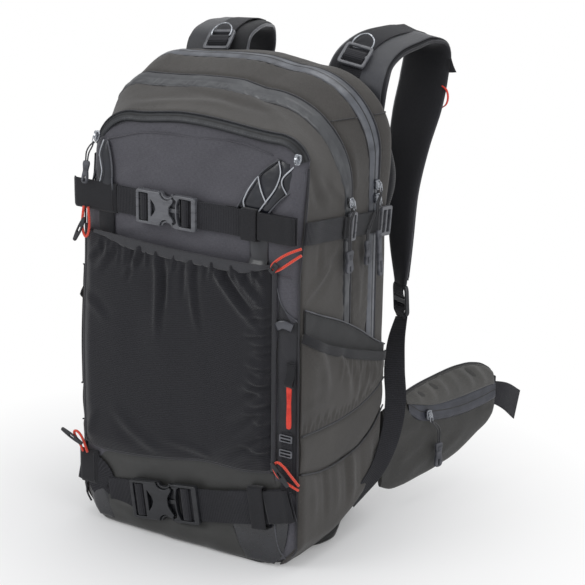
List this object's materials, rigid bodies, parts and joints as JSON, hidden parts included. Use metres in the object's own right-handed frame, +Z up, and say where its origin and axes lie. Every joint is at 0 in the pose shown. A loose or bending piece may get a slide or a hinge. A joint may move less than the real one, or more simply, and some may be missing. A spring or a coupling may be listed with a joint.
{
  "type": "ski backpack",
  "caption": "Soft ski touring backpack with zipped compartments, stretch front pocket, buckled straps, shoulder harness, padded hip wings and a small wing pocket.",
  "frame": {"origin": "middle of the underside, where the bottom panel rests on the ground", "axes": "+Z up along the bag's height, -Y towards the outer front with the stretch pocket, +Y towards the wearer's back, X across its width"},
  "size_m": [0.4178, 0.426, 0.548],
  "materials": {
    "coated_fabric": "satin",
    "glossy_patch": "gloss",
    "front_fabric": "matte",
    "lattice_fabric": "satin",
    "side_fabric": "matte",
    "frame_plastic": "matte",
    "stay_alloy": "satin",
    "back_fabric": "matte",
    "zip_tape": "matte",
    "stretch_fabric": "matte",
    "binding": "matte",
    "bar_plastic": "satin",
    "orange_tape": "matte",
    "dark_tape": "matte",
    "webbing": "matte",
    "buckle_plastic": "satin",
    "harness_fabric": "matte",
    "elastic_orange": "matte",
    "slider_metal": "satin",
    "pull_plastic": "satin"
  },
  "bodies": {
    "bag": {"back_pads": "back_fabric", "back_panel": "back_fabric", "bottom_panel": "coated_fabric", "cord_hooks": "bar_plastic", "cord_lower_left": "elastic_orange", "cord_lower_right": "elastic_orange", "cord_upper_left": "elastic_orange", "cord_upper_right": "elastic_orange", "corner_patches": "glossy_patch", "frame_sheet": "frame_plastic", "frame_stays": "stay_alloy", "front_compartment": "front_fabric", "front_webbing": "webbing", "front_zip": "zip_tape", "goggle_pocket": "lattice_fabric", "goggle_zip": "zip_tape", "hem_tabs": "binding", "lifter_buckles": "buckle_plastic", "load_lifters": "webbing", "lower_buckle_female": "buckle_plastic", "lower_webbing": "webbing", "lumbar_pad": "back_fabric", "main_compartment": "side_fabric", "main_zip": "zip_tape", "pocket_hem": "binding", "shoulder_strap_left": "harness_fabric", "shoulder_strap_right": "harness_fabric", "side_buckles": "buckle_plastic", "side_pocket_left": "side_fabric", "side_pocket_right": "side_fabric", "side_straps": "webbing", "strap_adjusters": "buckle_plastic", "strap_keepers": "binding", "strap_slides": "buckle_plastic", "stretch_pocket": "stretch_fabric", "tab_anchor": "dark_tape", "upper_buckle_female": "buckle_plastic"},
    "upper_buckle": {"upper_buckle_male": "buckle_plastic", "upper_strap_loop": "webbing"},
    "lower_buckle": {"lower_buckle_male": "buckle_plastic", "lower_strap_loop": "webbing"},
    "right_wing": {"hip_wing_right": "harness_fabric", "wing_zip": "zip_tape", "belt_webbing_right": "webbing", "belt_buckle_male": "buckle_plastic"},
    "left_wing": {"hip_wing_left": "harness_fabric", "belt_webbing_left": "webbing", "belt_buckle_female": "buckle_plastic"},
    "main_low_runner": {"main_low_slider": "slider_metal"},
    "main_low_tag": {"main_low_pull": "pull_plastic"},
    "main_high_runner": {"main_high_slider": "slider_metal"},
    "main_high_tag": {"main_high_pull": "pull_plastic"},
    "front_runner": {"front_slider": "slider_metal"},
    "front_tag": {"front_pull": "pull_plastic"},
    "goggle_runner": {"goggle_slider": "slider_metal"},
    "goggle_tag": {"goggle_pull": "pull_plastic"},
    "goggle_end_runner": {"goggle_end_slider": "slider_metal"},
    "wing_runner": {"wing_slider": "slider_metal"},
    "wing_tag": {"wing_pull": "pull_plastic"},
    "pull_tab_body": {"pull_tab": "orange_tape"}
  },
  "joints": [
    {"name": "upper_buckle_release", "type": "slide", "parent": "bag", "child": "upper_buckle", "axis": [1, 0, 0], "range_m": [0, 0.03]},
    {"name": "lower_buckle_release", "type": "slide", "parent": "bag", "child": "lower_buckle", "axis": [0.9903, 0, 0.1392], "range_m": [0, 0.035]},
    {"name": "right_wing_fold", "type": "hinge", "parent": "bag", "child": "right_wing", "pos_m": [0.1415, 0.104, 0.085], "axis": [0, 0, 1], "range_deg": [0, 45]},
    {"name": "left_wing_fold", "type": "hinge", "parent": "bag", "child": "left_wing", "pos_m": [-0.1415, 0.104, 0.085], "axis": [0, 0, -1], "range_deg": [0, 45]},
    {"name": "main_low_zip", "type": "slide", "parent": "bag", "child": "main_low_runner", "axis": [0, 0, 1], "range_m": [-0.008, 0]},
    {"name": "main_low_tag_swing", "type": "hinge", "parent": "main_low_runner", "child": "main_low_tag", "pos_m": [0.1533, 0.059, 0.3844], "axis": [0, -1, 0], "range_deg": [0, 90]},
    {"name": "main_high_zip", "type": "slide", "parent": "bag", "child": "main_high_runner", "axis": [0, 0, 1], "range_m": [0, 0.045]},
    {"name": "main_high_tag_swing", "type": "hinge", "parent": "main_high_runner", "child": "main_high_tag", "pos_m": [0.1533, 0.059, 0.3994], "axis": [0, -1, 0], "range_deg": [0, 100]},
    {"name": "front_zip_run", "type": "slide", "parent": "bag", "child": "front_runner", "axis": [0, 0, 1], "range_m": [0, 0.045]},
    {"name": "front_tag_swing", "type": "hinge", "parent": "front_runner", "child": "front_tag", "pos_m": [0.1533, 0.008, 0.3924], "axis": [0, -1, 0], "range_deg": [0, 100]},
    {"name": "goggle_zip_run", "type": "slide", "parent": "bag", "child": "goggle_runner", "axis": [0.9398, 0.068, 0.3349], "range_m": [0, 0.012]},
    {"name": "goggle_tag_swing", "type": "hinge", "parent": "goggle_runner", "child": "goggle_tag", "pos_m": [-0.119, -0.09011, 0.45124], "axis": [-1, 0, 0], "range_deg": [0, 90]},
    {"name": "goggle_end_zip_run", "type": "slide", "parent": "bag", "child": "goggle_end_runner", "axis": [-0.9659, 0.051, 0.254], "range_m": [0, 0.012]},
    {"name": "wing_zip_run", "type": "slide", "parent": "right_wing", "child": "wing_runner", "axis": [0.284, 0.9588, 0], "range_m": [0, 0.085]},
    {"name": "wing_tag_swing", "type": "hinge", "parent": "wing_runner", "child": "wing_tag", "pos_m": [0.17557, 0.16109, 0.1054], "axis": [-0.284, -0.9588, 0], "range_deg": [0, 90]},
    {"name": "pull_tab_swing", "type": "hinge", "parent": "bag", "child": "pull_tab_body", "pos_m": [0.136, -0.0954, 0.217], "axis": [-1, 0, 0], "range_deg": [0, 90]}
  ]
}
